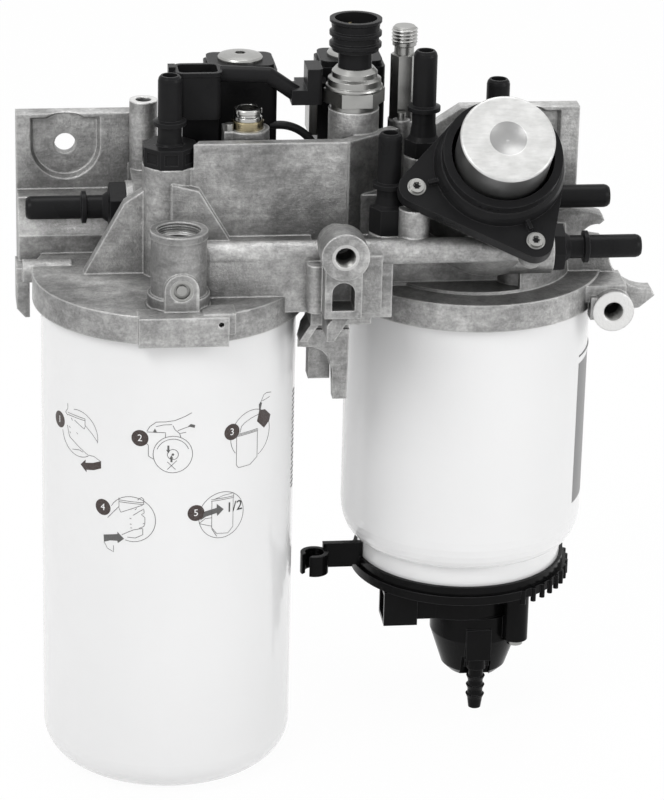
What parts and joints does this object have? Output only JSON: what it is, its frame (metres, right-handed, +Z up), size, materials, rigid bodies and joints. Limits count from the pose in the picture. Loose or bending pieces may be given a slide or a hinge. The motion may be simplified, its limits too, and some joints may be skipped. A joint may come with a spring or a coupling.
{
  "type": "twin spin-on fuel filter module",
  "caption": "Die-cast fuel filter head with a long spin-on filter, a water separator with drain bowl, a sloping hand primer, pipe ends, valves and sensor.",
  "frame": {"origin": "midway between the two engine bolts, on the flat back face of the casting", "axes": "+X from the main filter towards the separator, +Y towards the engine, +Z up"},
  "size_m": [0.278, 0.155, 0.3277],
  "materials": {
    "cast": "cast, matt",
    "coating": "gloss white",
    "zinc": "zinc plated",
    "pump_metal": "turned",
    "brass": "satin",
    "black": "semi-gloss",
    "rubber": "matt",
    "paper": "folded"
  },
  "bodies": {
    "head": {"filter_head": "cast", "main_stud": "zinc", "separator_stud": "zinc", "core_plug": "zinc", "left_pipe": "black", "centre_pipe": "black", "centre_pipe_cap": "black", "tall_pipe": "black", "short_pipe": "black", "rear_pipe": "black", "high_pipe": "black", "low_pipe": "black", "socket_shell": "black", "socket_pins": "brass", "valve_a_coil": "black", "valve_b_coil": "black", "valve_plates": "black", "valve_nuts": "zinc", "valve_b_bracket": "zinc", "harness_arm": "black", "harness_plug": "black", "harness_lead": "rubber", "lead_grommet": "rubber", "pressure_sensor": "zinc", "sensor_crimp": "zinc", "sensor_plug": "black", "sensor_pins": "brass", "test_port": "zinc", "check_fitting": "zinc", "check_ring": "brass", "small_screws": "zinc", "pump_flange": "black", "pump_sleeves": "zinc", "pump_screws": "zinc", "pump_spring": "zinc"},
    "plunger": {"pump_cup": "pump_metal", "pump_rod": "pump_metal"},
    "main_seal": {"main_gasket": "rubber"},
    "main_filter": {"main_can": "coating", "main_base_plate": "zinc", "main_element": "paper", "main_centre_tube": "zinc", "main_top_cap": "zinc", "main_bottom_cap": "zinc", "main_spring": "zinc"},
    "separator_seal": {"separator_gasket": "rubber"},
    "separator": {"separator_can": "coating", "separator_base_plate": "zinc", "separator_lower_plate": "zinc", "separator_element": "paper", "separator_centre_tube": "zinc", "separator_top_cap": "zinc", "separator_bottom_cap": "zinc", "separator_spring": "zinc"},
    "bowl_seal": {"bowl_gasket": "rubber"},
    "bowl": {"bowl": "black", "bowl_ring": "black", "level_pins": "brass", "bowl_screw": "zinc"},
    "drain_tap": {"drain_tap": "black"}
  },
  "joints": [
    {"name": "pump_press", "type": "slide", "parent": "head", "child": "plunger", "axis": [0, 0.7071, -0.7071], "range_m": [0, 0.01], "stiffness_N_per_m": 700, "springref_m": -0.004, "deforming": ["pump_spring"]},
    {"name": "main_drop", "type": "slide", "parent": "head", "child": "main_seal", "axis": [0, 0, -1], "range_m": [0, 0.01501]},
    {"name": "main_turn", "type": "hinge", "parent": "main_seal", "child": "main_filter", "pos_m": [-0.059, -0.053, -0.0535], "axis": [0, 0, -1], "range_deg": [0, 3600]},
    {"name": "separator_drop", "type": "slide", "parent": "head", "child": "separator_seal", "axis": [0, 0, -1], "range_m": [0, 0.01501]},
    {"name": "separator_turn", "type": "hinge", "parent": "separator_seal", "child": "separator", "pos_m": [0.0755, -0.015, -0.0655], "axis": [0, 0, -1], "range_deg": [0, 3600]},
    {"name": "bowl_drop", "type": "slide", "parent": "separator", "child": "bowl_seal", "axis": [0, 0, -1], "range_m": [0, 0.00601]},
    {"name": "bowl_turn", "type": "hinge", "parent": "bowl_seal", "child": "bowl", "pos_m": [0.0755, -0.015, -0.1931], "axis": [0, 0, -1], "range_deg": [0, 720]},
    {"name": "drain_turn", "type": "hinge", "parent": "bowl", "child": "drain_tap", "pos_m": [0.081, -0.043, -0.2315], "axis": [0, 0, -1], "range_deg": [0, 90]}
  ],
  "couplings": [
    {"joint": "main_drop", "follows": "main_turn", "m_per_rad": 0.00023873},
    {"joint": "separator_drop", "follows": "separator_turn", "m_per_rad": 0.00023873},
    {"joint": "bowl_drop", "follows": "bowl_turn", "m_per_rad": 0.00047746}
  ]
}
